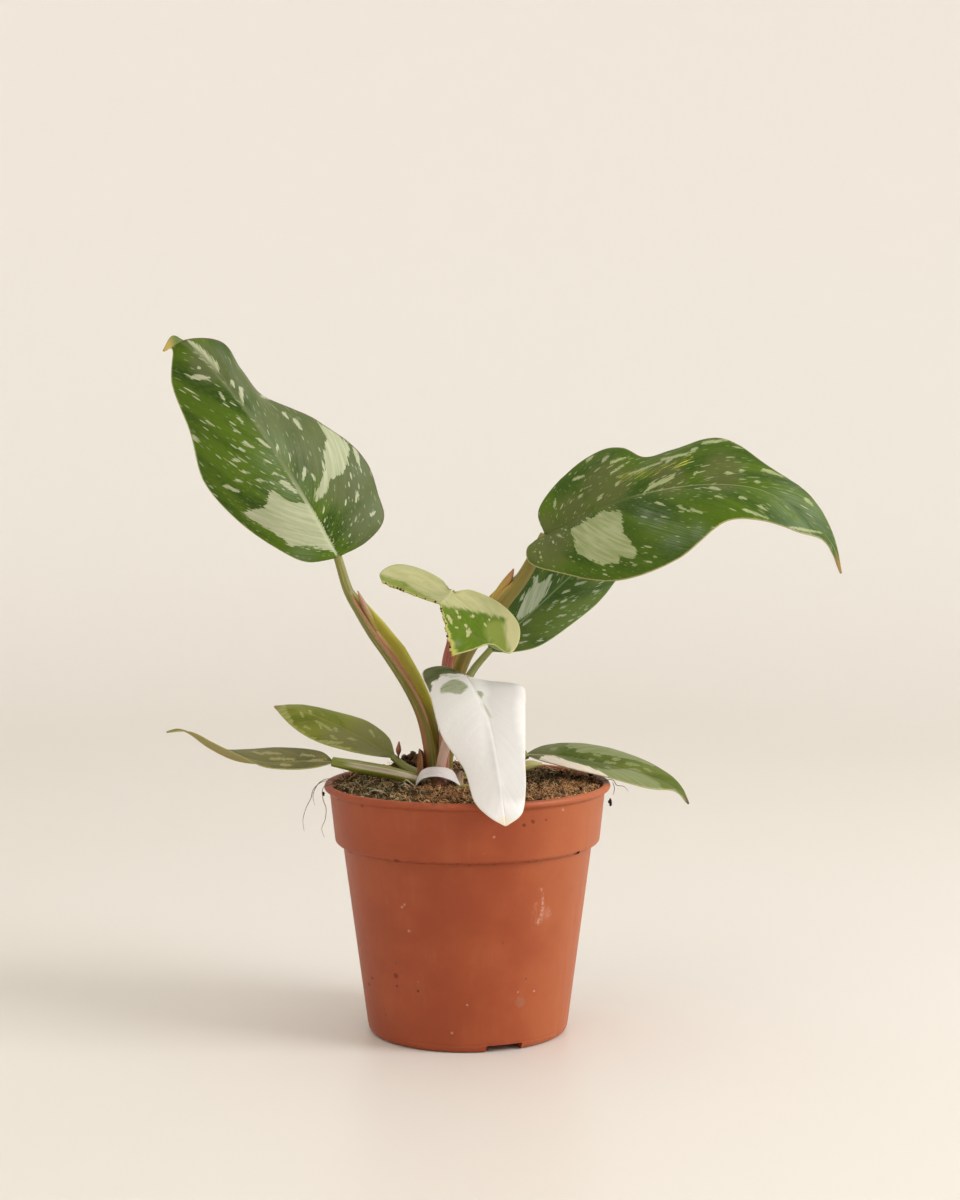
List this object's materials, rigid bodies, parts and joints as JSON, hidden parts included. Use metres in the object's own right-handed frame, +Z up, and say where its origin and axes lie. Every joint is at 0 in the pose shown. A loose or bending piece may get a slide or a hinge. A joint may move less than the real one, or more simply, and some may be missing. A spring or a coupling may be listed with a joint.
{
  "type": "potted philodendron",
  "caption": "Potted white princess philodendron: variegated leaves on long stalks, some small old leaves, short stem and bracts in a round terracotta-coloured nursery pot of soil.",
  "frame": {"origin": "on the floor, at the pot's axis, at the middle of the pad under the pot", "axes": "+Z up along the pot's axis, -Y towards the front, where the white leaf hangs over the lip, +X to the right as seen from the front"},
  "size_m": [0.2777, 0.1304, 0.2891],
  "materials": {
    "pot_plastic": "satin terracotta-coloured plastic",
    "potting_soil": "rough, moist peat with fibres",
    "stem": "smooth skin, olive with pale and pink stripes",
    "leaf_stalk": "smooth, slightly glossy, olive to amber, pink or pinkish white",
    "green_blade": "half-glossy dark green with sage, lime and cream patches",
    "young_blade": "half-glossy pale sage and cream over vivid green",
    "white_blade": "half-glossy white with a green lobe",
    "white_bract": "thin and smooth, white",
    "dry_bract": "dry, papery, brown"
  },
  "bodies": {
    "root": {"pot": "pot_plastic", "soil": "potting_soil", "stem": "stem", "leaf_upper_left_stalk": "leaf_stalk", "leaf_upper_left_blade": "green_blade", "leaf_upper_right_stalk": "leaf_stalk", "leaf_upper_right_blade": "green_blade", "leaf_middle_young_stalk": "leaf_stalk", "leaf_middle_young_blade": "young_blade", "leaf_front_white_stalk": "leaf_stalk", "leaf_front_white_blade": "white_blade", "leaf_behind_right_stalk": "leaf_stalk", "leaf_behind_right_blade": "green_blade", "leaf_low_left_back_stalk": "leaf_stalk", "leaf_low_left_back_blade": "green_blade", "leaf_low_left_front_stalk": "leaf_stalk", "leaf_low_left_front_blade": "green_blade", "leaf_low_right_stalk": "leaf_stalk", "leaf_low_right_blade": "green_blade", "bract_white": "white_bract", "bract_brown": "dry_bract"}
  },
  "joints": []
}
